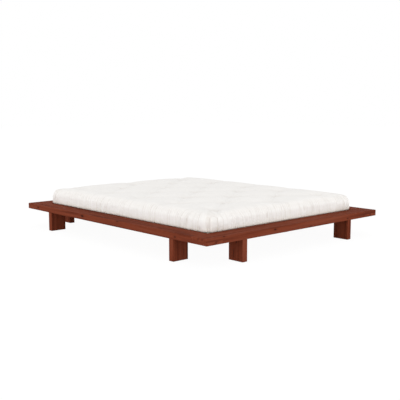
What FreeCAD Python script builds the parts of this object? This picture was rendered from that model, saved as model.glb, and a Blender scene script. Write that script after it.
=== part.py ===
import FreeCAD, Part
import math
import os
import re
import Sketcher

# Low futon bed: a rim of wide flat boards on eight board legs, a slatted base on two ledgers and a
# centre beam, and a tufted cotton futon that lies loose in the rim.
# Millimetres. The origin is on the floor under the middle of the bed, +Z up. The long sides run
# along Y; the foot end is at -Y, the head end at +Y, the left side at -X.

SIZES = {
    # Rim of four boards, half-lapped at the corners
    "bed_length": 2300,
    "bed_width": 1900,
    "rail_width": 150,
    "rail_thickness": 47,
    "arris": 3,
    # Board legs, two to a side, thin edge outwards; those of the right side stand nearer its ends
    "leg_height": 155,
    "leg_thickness": 45,
    "leg_depth": 133,
    "leg_end": 335,
    "leg_end_right": 260,
    "leg_setback": 5,
    "leg_arris": 2,
    # Leg bolts, sunk in the legs from below, and their threaded inserts
    "bolt_diameter": 8,
    "bolt_head_diameter": 13,
    "bolt_head": 8,
    "bolt_socket": 6,
    "bolt_socket_depth": 4,
    "bolt_length": 75,
    "bolt_grip": 60,
    "bolt_spacing": 70,
    "bolt_clearance": 0.25,
    "counterbore": 18,
    "insert_diameter": 12,
    "insert_length": 18,
    # Corner bolts through the half-laps, from below
    "lap_bolt_diameter": 6,
    "lap_bolt_head_diameter": 10,
    "lap_bolt_head": 6,
    "lap_bolt_socket": 5,
    "lap_bolt_socket_depth": 3,
    "lap_bolt_length": 30,
    "lap_counterbore": 14,
    "lap_counterbore_depth": 8,
    "lap_insert_diameter": 9,
    "lap_insert_length": 15,
    "lap_bolt_inset": 40,
    # Ledgers along the long sides, and their screws
    "ledger_width": 30,
    "ledger_height": 20,
    "ledger_end_gap": 5,
    "ledger_screw_diameter": 5,
    "ledger_screw_head": 10,
    "ledger_screw_length": 60,
    "ledger_screw_inset": 60,
    "ledger_screws": 6,
    # Centre beam, its two steel shoes and its two legs
    "beam_width": 45,
    "beam_height": 60,
    "beam_end_gap": 0.5,
    "shoe_plate": 2.5,
    "shoe_side_gap": 0.25,
    "shoe_seat": 40,
    "shoe_ear": 22,
    "shoe_ear_top": 35,
    "shoe_screw_diameter": 5,
    "shoe_screw_head": 9,
    "shoe_screw_head_height": 3,
    "shoe_screw_length": 35,
    "shoe_screw_edge": 8,
    "centre_leg_width": 95,
    "centre_bolt_spacing": 50,
    # Slats, the tapes that space them and their staples
    "slat_width": 70,
    "slat_thickness": 17,
    "slats": 16,
    "slat_end_gap": 5,
    "slat_first_gap": 20,
    "slat_arris": 2,
    "slat_screw_diameter": 4,
    "slat_screw_head": 8,
    "slat_screw_length": 30,
    "tape_width": 25,
    "tape_thickness": 1,
    "tape_offset": 400,
    "staple_crown": 12,
    "staple_wire": 1,
    "staple_leg": 10,
    # Tufted futon, loose in the rim
    "futon_side_gap": 3,
    "futon_rest_gap": 0.3,
    "futon_height": 128,
    "futon_crown": 8,
    "futon_bulge": 13,
    "futon_roll": 62,
    "futon_corner": 60,
    "futon_draw": 6,
    "tuft_inset_across": 220,
    "tuft_inset_along": 160,
    "tuft_steps_across": 2,
    "tuft_steps_along": 2,
    "tuft_pit_width": 130,
    "tuft_pit_depth": 26,
    "tuft_knot": 14,
    "tuft_knot_height": 4,
    # How far a hole runs on past what it takes
    "overrun": 1,
}

doc = FreeCAD.newDocument("futon_bed")
sheet = doc.addObject("Spreadsheet::Sheet", "Sizes")
for row, (alias, value) in enumerate(SIZES.items(), start=1):
    sheet.set("A%d" % row, alias)
    sheet.set("B%d" % row, str(value))
    sheet.setAlias("B%d" % row, alias)
doc.recompute()


def bound(text):
    """The expression with every size name pointing at its cell in the sheet."""
    def tied(word):
        return "Sizes." + word.group() if word.group() in SIZES else word.group()
    return re.sub(r"[a-z_]+", tied, text)


def size(name):
    """The value of one named size, read back from the sheet."""
    return float(sheet.get(name))


def vector(x, y, z):
    return FreeCAD.Vector(x, y, z)


# Shared expressions, each one a place or a size that several pieces meet at

OPENING_LENGTH = "(bed_length - 2 * rail_width)"
OPENING_WIDTH = "(bed_width - 2 * rail_width)"
LAP = "(rail_thickness / 2)"
RIM_TOP = "(leg_height + rail_thickness)"
SLAT_BED = "(leg_height + ledger_height)"
BEAM_LENGTH = "(%s - 2 * shoe_plate - 2 * beam_end_gap)" % OPENING_LENGTH
CENTRE_LEG = "(%s - beam_height)" % SLAT_BED


# The four sides of the rim: at angle 0 a side's own x points into the bed, its own y runs along the
# side from the corner and its own z is up. Each other side is the same, turned about Z.

SIDES = {
    "left": (0, "-bed_width / 2", "-bed_length / 2"),
    "foot": (90, "bed_width / 2", "-bed_length / 2"),
    "right": (180, "bed_width / 2", "bed_length / 2"),
    "head": (270, "-bed_width / 2", "bed_length / 2"),
}
LONG = ("left", "right")


def length_of(side):
    return "bed_length" if side in LONG else "bed_width"


def place(piece, x="0", y="0", z="0", angle=0):
    """Put a piece at x, y, z, each an expression, turned about Z."""
    piece.Placement = FreeCAD.Placement(vector(0, 0, 0), FreeCAD.Rotation(vector(0, 0, 1), angle))
    for axis, text in (("x", x), ("y", y), ("z", z)):
        piece.setExpression("Placement.Base." + axis, bound(text))


def on_side(piece, side, inward, along, height):
    """Put a piece on one side of the rim, by its place in that side's own directions."""
    angle, corner_x, corner_y = SIDES[side]
    cosine = round(math.cos(math.radians(angle)))
    sine = round(math.sin(math.radians(angle)))
    x = "%s + (%d) * (%s) - (%d) * (%s)" % (corner_x, cosine, inward, sine, along)
    y = "%s + (%d) * (%s) + (%d) * (%s)" % (corner_y, sine, inward, cosine, along)
    place(piece, x, y, height, angle)


# Sketches and features, all bound to the sheet

def body(label):
    made = doc.addObject("PartDesign::Body", label)
    made.Label = label
    return made


def sketch_on(owner, role, offset="0"):
    """A new sketch on one of the body's own origin planes, moved along the plane's normal."""
    plane = [feature for feature in owner.Origin.OriginFeatures if feature.Role == role][0]
    made = owner.newObject("Sketcher::SketchObject", owner.Label + "_outline")
    made.AttachmentSupport = (plane, "")
    made.MapMode = "FlatFace"
    if offset != "0":
        made.setExpression("AttachmentOffset.Base.z", bound(offset))
    return made


def measured(sketch, kind, geometry, point, text):
    """Fix one coordinate of a point of the sketch, from the sketch's origin."""
    if text == "0":
        axis = -2 if kind == "DistanceX" else -1
        sketch.addConstraint(Sketcher.Constraint("PointOnObject", geometry, point, axis))
        return
    index = sketch.addConstraint(Sketcher.Constraint(kind, -1, 1, geometry, point, 1.0))
    sketch.setExpression("Constraints[%d]" % index, bound(text))


def value_of(text):
    """What an expression comes to with the sheet's present values."""
    names = {name: size(name) for name in SIZES}
    total = re.sub(r"[a-z_]+", lambda word: repr(names[word.group()]), text)
    return float(FreeCAD.Units.Quantity(total).Value)


def polygon(owner, role, points, offset="0"):
    """A closed outline whose corners are all fixed by expressions."""
    sketch = sketch_on(owner, role, offset)
    corners = [vector(value_of(x), value_of(y), 0) for x, y in points]
    count = len(corners)
    for index in range(count):
        sketch.addGeometry(Part.LineSegment(corners[index], corners[(index + 1) % count]), False)
    for index in range(count):
        sketch.addConstraint(Sketcher.Constraint("Coincident", index, 2, (index + 1) % count, 1))
    for index, (x, y) in enumerate(points):
        measured(sketch, "DistanceX", index, 1, x)
        measured(sketch, "DistanceY", index, 1, y)
    return sketch


def circles(owner, role, centres, diameter, offset="0"):
    """Equal circles, each centre fixed by expressions."""
    sketch = sketch_on(owner, role, offset)
    for index, (x, y) in enumerate(centres):
        centre = vector(value_of(x), value_of(y), 0)
        sketch.addGeometry(Part.Circle(centre, vector(0, 0, 1), value_of(diameter) / 2), False)
        measured(sketch, "DistanceX", index, 3, x)
        measured(sketch, "DistanceY", index, 3, y)
        round_size = sketch.addConstraint(Sketcher.Constraint("Diameter", index, value_of(diameter)))
        sketch.setExpression("Constraints[%d]" % round_size, bound(diameter))
    return sketch


def rectangle(owner, role, low, high, offset="0"):
    (x0, y0), (x1, y1) = low, high
    return polygon(owner, role, [(x0, y0), (x1, y0), (x1, y1), (x0, y1)], offset)


def pad(owner, sketch, length, backwards=False):
    made = owner.newObject("PartDesign::Pad", owner.Label + "_pad")
    made.Profile = sketch
    made.Reversed = backwards
    made.setExpression("Length", bound(length))
    doc.recompute()
    return made


def pocket(owner, sketch, depth, backwards=False):
    """Cut a sketch into the body, and make sure that wood was taken away."""
    before = owner.Shape.Volume
    made = owner.newObject("PartDesign::Pocket", owner.Label + "_pocket")
    made.Profile = sketch
    made.Reversed = backwards
    made.setExpression("Length", bound(depth))
    doc.recompute()
    if not owner.Shape.Volume < before:
        raise RuntimeError("a pocket of %s cuts nothing" % owner.Label)
    return made


def fillet(owner, radius, wanted):
    """Round the edges of the body's last feature for which wanted(edge) is true."""
    base = owner.Tip
    names = ["Edge%d" % index for index, edge in enumerate(base.Shape.Edges, start=1) if wanted(edge)]
    made = owner.newObject("PartDesign::Fillet", owner.Label + "_rounding")
    made.Base = (base, names)
    made.setExpression("Radius", bound(radius))
    doc.recompute()
    return made


def turned(label, points):
    """A round piece: a half profile in x and z, turned about Z."""
    made = body(label)
    profile = polygon(made, "XZ_Plane", points)
    spin = made.newObject("PartDesign::Revolution", label + "_turning")
    spin.Profile = profile
    spin.ReferenceAxis = (profile, ["V_Axis"])
    spin.Angle = 360
    doc.recompute()
    return made


def near(a, b):
    return abs(a - b) < 1e-6


def straight(edge):
    return edge.Curve.TypeId == "Part::GeomLine"


def runs_along(edge, axis):
    """Whether a straight edge is parallel to x, y or z."""
    if not straight(edge):
        return False
    direction = edge.Curve.Direction
    return abs(abs(getattr(direction, axis)) - 1) < 1e-6


# The pieces that are handed over, by name

pieces = {}


def keep(piece, label):
    piece.Label = label
    pieces[label] = piece
    return piece


# Rim boards
# A long rail keeps the lower half of its thickness in the corner, a short rail the upper half, so
# that the head and foot boards lap over the side boards.

LEG_BOLTS_IN = ["leg_setback + leg_depth / 2 - bolt_spacing / 2",
                "leg_setback + leg_depth / 2 + bolt_spacing / 2"]
LAP_BOLTS_AT = ["lap_bolt_inset", "rail_width - lap_bolt_inset"]


def legs_along(side):
    """The two legs of a side: each one's near face, measured along the side."""
    end = "leg_end_right" if side == "right" else "leg_end"
    return [end, "%s - %s - leg_thickness" % (length_of(side), end)]


def rail(label, side, laps_over):
    made = body(label)
    length = length_of(side)
    end, far = "rail_width", "%s - rail_width" % length
    if laps_over:
        outline = [("0", LAP), (end, LAP), (end, "0"), (far, "0"), (far, LAP), (length, LAP),
                   (length, "rail_thickness"), ("0", "rail_thickness")]
    else:
        outline = [("0", "0"), (length, "0"), (length, LAP), (far, LAP), (far, "rail_thickness"),
                   (end, "rail_thickness"), (end, LAP), ("0", LAP)]
    pad(made, polygon(made, "YZ_Plane", outline), "rail_width")

    # Rounded arrises on what shows: the outer edges, top and bottom, and the corners of the bed
    top, outer_end = size("rail_thickness"), value_of(length)
    levels = (top,) if laps_over else (0.0, top)

    def shows(edge):
        middle = edge.CenterOfMass
        on_face, at_end = near(middle.x, 0), near(middle.y, 0) or near(middle.y, outer_end)
        if runs_along(edge, "y"):
            return on_face and (near(middle.z, top) or near(middle.z, 0))
        if runs_along(edge, "z"):
            return on_face and at_end
        return at_end and runs_along(edge, "x") and near(middle.z, top if laps_over else 0)

    fillet(made, "arris", shows)

    # Threaded inserts of the leg bolts, from below
    places = [(inward, "%s + leg_thickness / 2" % face)
              for face in legs_along(side) for inward in LEG_BOLTS_IN]
    pocket(made, circles(made, "XY_Plane", places, "insert_diameter"), "insert_length + overrun", True)

    # Corner bolts: a counterbored hole in the lower board, an insert in the upper one
    corners = [(inward, along) for inward in LAP_BOLTS_AT
               for along in (*LAP_BOLTS_AT, *("%s - (%s)" % (length, at) for at in LAP_BOLTS_AT))]
    if laps_over:
        insert_seats = circles(made, "XY_Plane", corners, "lap_insert_diameter", LAP)
        pocket(made, insert_seats, "lap_insert_length + overrun", True)
    else:
        through = circles(made, "XY_Plane", corners, "lap_bolt_diameter + 2 * bolt_clearance")
        pocket(made, through, LAP, True)
        pocket(made, circles(made, "XY_Plane", corners, "lap_counterbore"), "lap_counterbore_depth", True)
    return made


def ledger_screw_places():
    """Where the screws of a ledger are, measured along the side of the bed."""
    first = "(rail_width + ledger_end_gap + ledger_screw_inset)"
    last = "(bed_length - rail_width - ledger_end_gap - ledger_screw_inset)"
    steps = int(size("ledger_screws")) - 1
    return ["%s + (%s - %s) * %d / %d" % (first, last, first, step, steps) for step in range(steps + 1)]


def long_rail(label, side):
    made = rail(label, side, False)
    # Screws of the ledger, level with its middle, going in from the inner face
    centres = [(along, "ledger_height / 2") for along in ledger_screw_places()]
    hole = circles(made, "YZ_Plane", centres, "ledger_screw_diameter + 2 * bolt_clearance", "rail_width")
    pocket(made, hole, "ledger_screw_length - ledger_width + overrun")
    on_side(made, side, "0", "0", "leg_height")
    return keep(made, label)


def short_rail(label, side):
    made = rail(label, side, True)
    # Screws of the centre beam's shoe, going in from the inner face
    centres = shoe_screw_places("bed_width / 2", "leg_height")
    hole = circles(made, "YZ_Plane", centres, "shoe_screw_diameter + 2 * bolt_clearance", "rail_width")
    pocket(made, hole, "shoe_screw_length - shoe_plate + overrun")
    on_side(made, side, "0", "0", "leg_height")
    return keep(made, label)


def shoe_screw_places(middle, floor):
    """The four screws of a shoe, across it from its middle and up from the given floor."""
    reach = "(beam_width / 2 + shoe_side_gap + shoe_plate + shoe_ear - shoe_screw_edge)"
    low = "leg_height + shoe_screw_edge - (%s)" % floor
    high = "leg_height + shoe_ear_top - shoe_screw_edge - (%s)" % floor
    return [("%s + (%d) * %s" % (middle, sign, reach), level) for sign in (-1, 1) for level in (low, high)]


for side in LONG:
    long_rail("long_rail_" + side, side)
for side in ("foot", "head"):
    short_rail(side + "_rail", side)


# Board legs
# Each is screwed up into the rim by two bolts sunk in the leg from below.

def bolted_leg(label, depth, width, height, bolt_places):
    """A leg board standing on its end grain, counterbored from below for its bolts."""
    made = body(label)
    pad(made, rectangle(made, "XY_Plane", ("0", "0"), (depth, width)), height)
    fillet(made, "leg_arris", lambda edge: runs_along(edge, "z"))
    clear = circles(made, "XY_Plane", bolt_places, "bolt_diameter + 2 * bolt_clearance")
    pocket(made, clear, height, True)
    wide = circles(made, "XY_Plane", bolt_places, "counterbore")
    pocket(made, wide, "%s - bolt_grip" % height, True)
    return made


def leg(side, number, end_name):
    places = [("leg_depth / 2 - bolt_spacing / 2", "leg_thickness / 2"),
              ("leg_depth / 2 + bolt_spacing / 2", "leg_thickness / 2")]
    label = "leg_%s_%s" % (side, end_name)
    made = bolted_leg(label, "leg_depth", "leg_thickness", "leg_height", places)
    on_side(made, side, "leg_setback", legs_along(side)[number], "0")
    return keep(made, label)


# Seen along each side's own direction, the first leg is nearest the corner the side starts from
LEG_ENDS = {"left": ("foot", "head"), "right": ("head", "foot"),
            "foot": ("right", "left"), "head": ("left", "right")}
for side, ends in LEG_ENDS.items():
    for number, end_name in enumerate(ends):
        leg(side, number, end_name)


# Centre beam, its shoes and its legs

beam = body("centre_beam")
pad(beam, rectangle(beam, "XY_Plane", ("0", "0"), ("beam_width", BEAM_LENGTH)), "beam_height")
fillet(beam, "leg_arris", lambda edge: runs_along(edge, "y"))
CENTRE_LEGS_AT = ["(%s) / 6" % OPENING_LENGTH, "-(%s) / 6" % OPENING_LENGTH]
beam_bolts = [("beam_width / 2", "%s / 2 + (%s) + (%d) * centre_bolt_spacing / 2" % (BEAM_LENGTH, at, sign))
              for at in CENTRE_LEGS_AT for sign in (-1, 1)]
pocket(beam, circles(beam, "XY_Plane", beam_bolts, "insert_diameter"), "insert_length + overrun", True)
place(beam, "-beam_width / 2", "-%s / 2" % BEAM_LENGTH, CENTRE_LEG)
keep(beam, "centre_beam")

for label, at in zip(("centre_leg_head", "centre_leg_foot"), CENTRE_LEGS_AT):
    bolt_places = [("beam_width / 2", "centre_leg_width / 2 + (%d) * centre_bolt_spacing / 2" % sign)
                   for sign in (-1, 1)]
    centre_leg = bolted_leg(label, "beam_width", "centre_leg_width", CENTRE_LEG, bolt_places)
    place(centre_leg, "-beam_width / 2", "(%s) - centre_leg_width / 2" % at, "0")
    keep(centre_leg, label)


def shoe(label, side):
    """A steel shoe: a back plate on the rail with a U-shaped seat for the end of the beam."""
    made = body(label)
    half = "(beam_width / 2 + shoe_side_gap + shoe_plate)"
    width = "(2 * %s + 2 * shoe_ear)" % half
    seat_floor = "(%s - shoe_plate)" % CENTRE_LEG
    rise = "(leg_height - %s)" % seat_floor
    top = "(%s + shoe_ear_top)" % rise
    near_side, far_side = "shoe_ear", "(%s - shoe_ear)" % width
    back = [(near_side, "0"), (far_side, "0"), (far_side, rise), (width, rise), (width, top),
            ("0", top), ("0", rise), (near_side, rise)]
    pad(made, polygon(made, "YZ_Plane", back), "shoe_plate")
    cheek_top = "(beam_height + shoe_plate - leg_arris)"
    inside, outside = "(%s + shoe_plate)" % near_side, "(%s - shoe_plate)" % far_side
    seat = [(near_side, "0"), (far_side, "0"), (far_side, cheek_top), (outside, cheek_top),
            (outside, "shoe_plate"), (inside, "shoe_plate"), (inside, cheek_top), (near_side, cheek_top)]
    pad(made, polygon(made, "YZ_Plane", seat, "shoe_plate"), "shoe_seat")
    centres = [("%s / 2 + (%s)" % (width, across), "%s + (%s)" % (rise, up))
               for across, up in shoe_screw_places("0", "leg_height")]
    hole = circles(made, "YZ_Plane", centres, "shoe_screw_diameter + 2 * bolt_clearance", "shoe_plate")
    pocket(made, hole, "shoe_plate")
    on_side(made, side, "rail_width", "bed_width / 2 - %s / 2" % width, seat_floor)
    return keep(made, label)


shoe("beam_shoe_foot", "foot")
shoe("beam_shoe_head", "head")


# Ledgers

for side in LONG:
    label = "ledger_" + side
    ledger = body(label)
    ledger_length = "(%s - 2 * ledger_end_gap)" % OPENING_LENGTH
    pad(ledger, rectangle(ledger, "XY_Plane", ("0", "0"), ("ledger_width", ledger_length)), "ledger_height")
    fillet(ledger, "leg_arris",
           lambda edge: runs_along(edge, "y") and near(edge.CenterOfMass.x, size("ledger_width")))
    centres = [("%s - rail_width - ledger_end_gap" % along, "ledger_height / 2")
               for along in ledger_screw_places()]
    hole = "ledger_screw_diameter + 2 * bolt_clearance"
    through = circles(ledger, "YZ_Plane", centres, hole, "ledger_width")
    pocket(ledger, through, "ledger_width")
    sunk = circles(ledger, "YZ_Plane", centres, "ledger_screw_head + 2 * bolt_clearance", "ledger_width")
    pocket(ledger, sunk, "ledger_screw_head / 2")
    first_slat = "(slat_first_gap + slat_width / 2 - ledger_end_gap)"
    slat_holes = [("ledger_width / 2", first_slat),
                  ("ledger_width / 2", "%s - %s" % (ledger_length, first_slat))]
    hole = "slat_screw_diameter + 2 * bolt_clearance"
    sink = circles(ledger, "XY_Plane", slat_holes, hole, "ledger_height")
    pocket(ledger, sink, "slat_screw_length - slat_thickness + overrun")
    on_side(ledger, side, "rail_width", "rail_width + ledger_end_gap", "leg_height")
    keep(ledger, label)


# Slats
# Each is a planed board with rounded arrises. The first and the last are screwed to the ledgers, and
# all of them are stapled to the two tapes.

SLAT_LENGTH = "(%s - 2 * slat_end_gap)" % OPENING_WIDTH
SLAT_COUNT = int(size("slats"))
SLAT_PITCH = "((%s - 2 * slat_first_gap - slat_width) / (slats - 1))" % OPENING_LENGTH
STAPLE_REACH = "(staple_crown / 2 - staple_wire / 2)"
TAPES_AT = ("-tape_offset", "tape_offset")


def slat_middle(number):
    return "(-%s / 2 + slat_first_gap + slat_width / 2 + %d * %s)" % (OPENING_LENGTH, number, SLAT_PITCH)


for number in range(SLAT_COUNT):
    label = "slat_%02d" % (number + 1)
    slat = body(label)
    pad(slat, rectangle(slat, "XY_Plane", ("0", "0"), (SLAT_LENGTH, "slat_width")), "slat_thickness")
    fillet(slat, "slat_arris", lambda edge: runs_along(edge, "x"))
    prongs = [("%s / 2 + (%s) + (%d) * %s" % (SLAT_LENGTH, tape, sign, STAPLE_REACH), "slat_width / 2")
              for tape in TAPES_AT for sign in (-1, 1)]
    pocket(slat, circles(slat, "XY_Plane", prongs, "staple_wire", "slat_thickness"), "staple_leg")
    if number in (0, SLAT_COUNT - 1):
        ends = [("ledger_width / 2 - slat_end_gap", "slat_width / 2"),
                ("%s - (ledger_width / 2 - slat_end_gap)" % SLAT_LENGTH, "slat_width / 2")]
        hole = "slat_screw_diameter + 2 * bolt_clearance"
        through = circles(slat, "XY_Plane", ends, hole, "slat_thickness")
        pocket(slat, through, "slat_thickness")
        sunk = circles(slat, "XY_Plane", ends, "slat_screw_head + 2 * bolt_clearance", "slat_thickness")
        pocket(slat, sunk, "slat_screw_head / 2")
    place(slat, "-%s / 2" % SLAT_LENGTH, "%s - slat_width / 2" % slat_middle(number), SLAT_BED)
    keep(slat, label)


# Tapes

TAPE_LENGTH = "(%s - 2 * slat_first_gap)" % OPENING_LENGTH
TAPE_BED = "(%s + slat_thickness)" % SLAT_BED
for label, across in zip(("slat_tape_left", "slat_tape_right"), TAPES_AT):
    tape = body(label)
    pad(tape, rectangle(tape, "XY_Plane", ("0", "0"), ("tape_width", TAPE_LENGTH)), "tape_thickness")
    prongs = [("tape_width / 2 + (%d) * %s" % (sign, STAPLE_REACH),
               "%s / 2 + %s" % (TAPE_LENGTH, slat_middle(number)))
              for number in range(SLAT_COUNT) for sign in (-1, 1)]
    pocket(tape, circles(tape, "XY_Plane", prongs, "staple_wire", "tape_thickness"), "tape_thickness")
    place(tape, "%s - tape_width / 2" % across, "-%s / 2" % TAPE_LENGTH, TAPE_BED)
    keep(tape, label)


# Fasteners
# One of each kind is made, then copied to its places. Each kind's copies share one name.

def group(label, pattern, spots):
    """Copies of one fastener: each spot is a point and the direction that the fastener's top faces."""
    shapes = []
    for point, facing in spots:
        copy = pattern.Shape.copy()
        copy.Placement = FreeCAD.Placement(point, FreeCAD.Rotation(vector(0, 0, 1), facing))
        shapes.append(copy)
    made = doc.addObject("Part::Feature", label)
    made.Shape = Part.makeCompound(shapes)
    return keep(made, label)


def spot_on_side(side, inward, along, height):
    """A point given in a side's own directions, as a point of the bed."""
    angle, corner_x, corner_y = SIDES[side]
    turn = FreeCAD.Rotation(vector(0, 0, 1), angle)
    return vector(value_of(corner_x), value_of(corner_y), 0) + turn.multVec(
        vector(value_of(inward), value_of(along), value_of(height)))


def facing_of(side, inward):
    """The direction in the bed of a side's own inward direction, or the other way."""
    turn = FreeCAD.Rotation(vector(0, 0, 1), SIDES[side][0])
    return turn.multVec(vector(1 if inward else -1, 0, 0))


def socket_bolt(label, diameter, head_diameter, head, socket, socket_depth, length):
    """A socket-head bolt: the underside of its head at z 0, its head above, its shank below."""
    return turned(label, [
        ("0", "-(%s)" % length), ("%s / 2" % diameter, "-(%s)" % length), ("%s / 2" % diameter, "0"),
        ("%s / 2" % head_diameter, "0"), ("%s / 2" % head_diameter, head),
        ("%s / 2" % socket, head), ("%s / 2" % socket, "%s - %s" % (head, socket_depth)),
        ("0", "%s - %s" % (head, socket_depth))])


def threaded_insert(label, diameter, bore, length):
    """A brass insert: a sleeve with its open end at z 0, going down."""
    inner, outer = "%s / 2 + bolt_clearance / 2" % bore, "%s / 2" % diameter
    return turned(label, [(inner, "-(%s)" % length), (outer, "-(%s)" % length), (outer, "0"), (inner, "0")])


def wood_screw(label, diameter, head, length):
    """A countersunk screw: the top of its head at z 0, its point below."""
    return turned(label, [
        ("0", "-(%s)" % length), ("%s / 2" % diameter, "-(%s) + %s" % (length, diameter)),
        ("%s / 2" % diameter, "-(%s - %s) / 2" % (head, diameter)), ("%s / 2" % head, "0"), ("0", "0")])


down, up = vector(0, 0, -1), vector(0, 0, 1)

bolt = socket_bolt("leg_bolt_pattern", "bolt_diameter", "bolt_head_diameter", "bolt_head", "bolt_socket",
                   "bolt_socket_depth", "bolt_length")
leg_insert = threaded_insert("leg_insert_pattern", "insert_diameter", "bolt_diameter", "insert_length")
leg_spots = []
for side in SIDES:
    for face in legs_along(side):
        for inward in LEG_BOLTS_IN:
            leg_spots.append(spot_on_side(side, inward, "%s + leg_thickness / 2" % face, "leg_height"))
for at in CENTRE_LEGS_AT:
    for sign in (-1, 1):
        along = value_of("%s + (%d) * centre_bolt_spacing / 2" % (at, sign))
        leg_spots.append(vector(0, along, value_of(CENTRE_LEG)))
group("leg_bolts", bolt, [(spot - vector(0, 0, size("bolt_grip")), down) for spot in leg_spots])
group("leg_inserts", leg_insert, [(spot, down) for spot in leg_spots])

lap_bolt = socket_bolt("lap_bolt_pattern", "lap_bolt_diameter", "lap_bolt_head_diameter", "lap_bolt_head",
                       "lap_bolt_socket", "lap_bolt_socket_depth", "lap_bolt_length")
lap_insert = threaded_insert("lap_insert_pattern", "lap_insert_diameter", "lap_bolt_diameter",
                             "lap_insert_length")
lap_spots = []
for side in LONG:
    for inward in LAP_BOLTS_AT:
        for along in (*LAP_BOLTS_AT, *("bed_length - (%s)" % at for at in LAP_BOLTS_AT)):
            lap_spots.append(spot_on_side(side, inward, along, "leg_height"))
head_seat = vector(0, 0, size("lap_counterbore_depth"))
group("corner_bolts", lap_bolt, [(spot + head_seat, down) for spot in lap_spots])
group("corner_inserts", lap_insert, [(spot + vector(0, 0, value_of(LAP)), down) for spot in lap_spots])

ledger_screw = wood_screw("ledger_screw_pattern", "ledger_screw_diameter", "ledger_screw_head",
                          "ledger_screw_length")
LEDGER_MIDDLE = "leg_height + ledger_height / 2"
group("ledger_screws", ledger_screw,
      [(spot_on_side(side, "rail_width + ledger_width", along, LEDGER_MIDDLE), facing_of(side, True))
       for side in LONG for along in ledger_screw_places()])

slat_screw = wood_screw("slat_screw_pattern", "slat_screw_diameter", "slat_screw_head", "slat_screw_length")
group("slat_screws", slat_screw,
      [(vector(sign * value_of("%s / 2 - ledger_width / 2" % OPENING_WIDTH), value_of(slat_middle(number)),
               value_of(TAPE_BED)), up) for sign in (-1, 1) for number in (0, SLAT_COUNT - 1)])

shoe_screw = turned("shoe_screw_pattern", [
    ("0", "-(shoe_screw_length)"),
    ("shoe_screw_diameter / 2", "-(shoe_screw_length) + shoe_screw_diameter"),
    ("shoe_screw_diameter / 2", "0"), ("shoe_screw_head / 2", "0"),
    ("shoe_screw_head / 2 - shoe_screw_head_height / 2", "shoe_screw_head_height"),
    ("0", "shoe_screw_head_height")])
group("shoe_screws", shoe_screw,
      [(spot_on_side(side, "rail_width + shoe_plate", across, level), facing_of(side, True))
       for side in ("foot", "head") for across, level in shoe_screw_places("bed_width / 2", "0")])

# A staple: a crown across the tape with two prongs into the slat
staple = body("staple_pattern")
half_crown = "(staple_crown / 2)"
pad(staple, rectangle(staple, "XY_Plane", ("0", "0"), ("staple_crown", "staple_wire")), "staple_wire")
prong_places = [("%s %s %s" % (half_crown, sign, STAPLE_REACH), "staple_wire / 2") for sign in "-+"]
pad(staple, circles(staple, "XY_Plane", prong_places, "staple_wire"), "staple_leg", True)
staple_spots = []
for across in TAPES_AT:
    for number in range(SLAT_COUNT):
        spot = vector(value_of("%s - %s" % (across, half_crown)),
                      value_of("%s - staple_wire / 2" % slat_middle(number)),
                      value_of("%s + tape_thickness" % TAPE_BED))
        staple_spots.append((spot, up))
group("tape_staples", staple, staple_spots)


# Futon
# The sewn cover and its cotton filling, tied through by tufts. The sections are drawn from the foot
# upwards: a tucked-in foot in the rim, sides that bulge over it, a rolled top edge and a low crown.

def cushion_section(half_x, half_y, corner, draw, level):
    """A rounded rectangle of eight arcs: a corner and the drawn-in side after it, four times round."""
    slant = corner * (1 - math.sqrt(0.5))
    quarters = ((1, 1, (0, half_y - draw)), (-1, 1, (draw - half_x, 0)),
                (-1, -1, (0, draw - half_y)), (1, -1, (half_x - draw, 0)))
    bends = []
    for sign_x, sign_y, _ in quarters:
        bend = [(sign_x * half_x, sign_y * (half_y - corner)),
                (sign_x * (half_x - slant), sign_y * (half_y - slant)),
                (sign_x * (half_x - corner), sign_y * half_y)]
        bends.append(bend if sign_x == sign_y else bend[::-1])
    edges = []
    for index, (_, _, middle) in enumerate(quarters):
        side = [bends[index][2], middle, bends[(index + 1) % 4][0]]
        for points in (bends[index], side):
            edges.append(Part.Arc(*(vector(x, y, level) for x, y in points)).toShape())
    return Part.Wire(edges)


# Shares of the height under the rolled edge and of the bulge up its side, degrees round the rolled
# edge, and shares of half its width and of its crown in over its top
SIDE_SHARES = ((0.0, -1.0), (0.1, 0.0), (0.35, 0.6), (0.7, 1.0))
ROLL_ANGLES = (0, 20, 40, 60, 75)
CROWN_SHARES = ((0.12, 0.35), (0.28, 0.75), (0.5, 1.0))


def side_profile():
    """Height above the foot and reach outside the foot's outline, from the bottom to the crown."""
    height, bulge, roll = size("futon_height"), size("futon_bulge"), size("futon_roll")
    below = height - roll
    profile = [(below * level_share, bulge * reach_share) for level_share, reach_share in SIDE_SHARES]
    for angle in ROLL_ANGLES:
        turn = math.radians(angle)
        profile.append((height - roll * (1 - math.sin(turn)), bulge - roll * (1 - math.cos(turn))))
    middle = value_of(OPENING_WIDTH) / 2
    for inset_share, level_share in CROWN_SHARES:
        profile.append((height + size("futon_crown") * level_share, -middle * inset_share))
    return profile


def futon_solid():
    foot_x = value_of(OPENING_WIDTH) / 2 - size("futon_side_gap")
    foot_y = value_of(OPENING_LENGTH) / 2 - size("futon_side_gap")
    corner, draw = size("futon_corner"), size("futon_draw")
    wires = [cushion_section(foot_x + reach, foot_y + reach, corner, draw, level)
             for level, reach in side_profile()]
    return Part.makeLoft(wires, True, True)


def tuft_places():
    """Tufts in staggered rows, an inset in from the rim: every second row lies half a step along."""
    columns, steps = int(size("tuft_steps_across")), int(size("tuft_steps_along"))
    across = (value_of(OPENING_WIDTH) / 2 - size("tuft_inset_across")) / columns
    along = (value_of(OPENING_LENGTH) / 2 - size("tuft_inset_along")) / steps
    places = []
    for column in range(-columns, columns + 1):
        if (column + columns) % 2 == 0:
            marks = range(-steps, steps + 1)
        else:
            marks = [step + 0.5 for step in range(-steps, steps)]
        places += [(column * across, mark * along) for mark in marks]
    return places


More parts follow.
